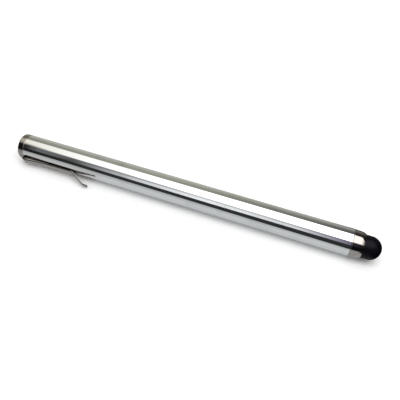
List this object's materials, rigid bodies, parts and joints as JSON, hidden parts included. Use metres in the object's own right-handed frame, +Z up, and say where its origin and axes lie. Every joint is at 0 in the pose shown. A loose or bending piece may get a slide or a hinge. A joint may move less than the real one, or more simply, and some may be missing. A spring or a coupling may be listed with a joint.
{
  "type": "stylus pen",
  "caption": "Slim polished metal touch-screen stylus with a domed black rubber tip, a screwed nose ring, a sprung pocket clip and a flat end cap.",
  "frame": {"origin": "on the surface the pen lies on, under the middle of its length and width", "axes": "+X along the pen towards the rubber tip, +Z up from the surface; the clip is on the -Y side"},
  "size_m": [0.129, 0.0122, 0.009],
  "materials": {
    "barrel_steel": "polished",
    "trim_steel": "polished",
    "clip_steel": "polished",
    "bush_brass": "turned",
    "tip_rubber": "matte"
  },
  "bodies": {
    "barrel": {"barrel_tube": "barrel_steel", "end_cap": "trim_steel", "clip_foot": "clip_steel", "rear_bush": "bush_brass", "front_bush": "bush_brass"},
    "clip": {"clip_arm": "clip_steel"},
    "tip_holder": {"tip_core": "bush_brass"},
    "nose": {"nose_ring": "trim_steel"},
    "tip": {"rubber_tip": "tip_rubber"}
  },
  "joints": [
    {"name": "clip_flex", "type": "hinge", "parent": "barrel", "child": "clip", "pos_m": [-0.0619, -0.00249, 0.00243], "axis": [0, 0.4508, -0.8926], "range_deg": [0, 8], "stiffness_Nm_per_rad": 0.45, "springref_deg": -1.15},
    {"name": "nose_advance", "type": "slide", "parent": "barrel", "child": "tip_holder", "axis": [1, 0, 0], "range_m": [0, 0.003]},
    {"name": "nose_turn", "type": "hinge", "parent": "tip_holder", "child": "nose", "pos_m": [0.05495, 0.00161, 0.0045], "axis": [1, 0, 0], "range_deg": [0, 2160]},
    {"name": "tip_press", "type": "slide", "parent": "tip_holder", "child": "tip", "axis": [-1, 0, 0], "range_m": [0, 0.0008], "stiffness_N_per_m": 1250}
  ],
  "couplings": [
    {"joint": "nose_turn", "follows": "nose_advance", "rad_per_m": 12566}
  ]
}
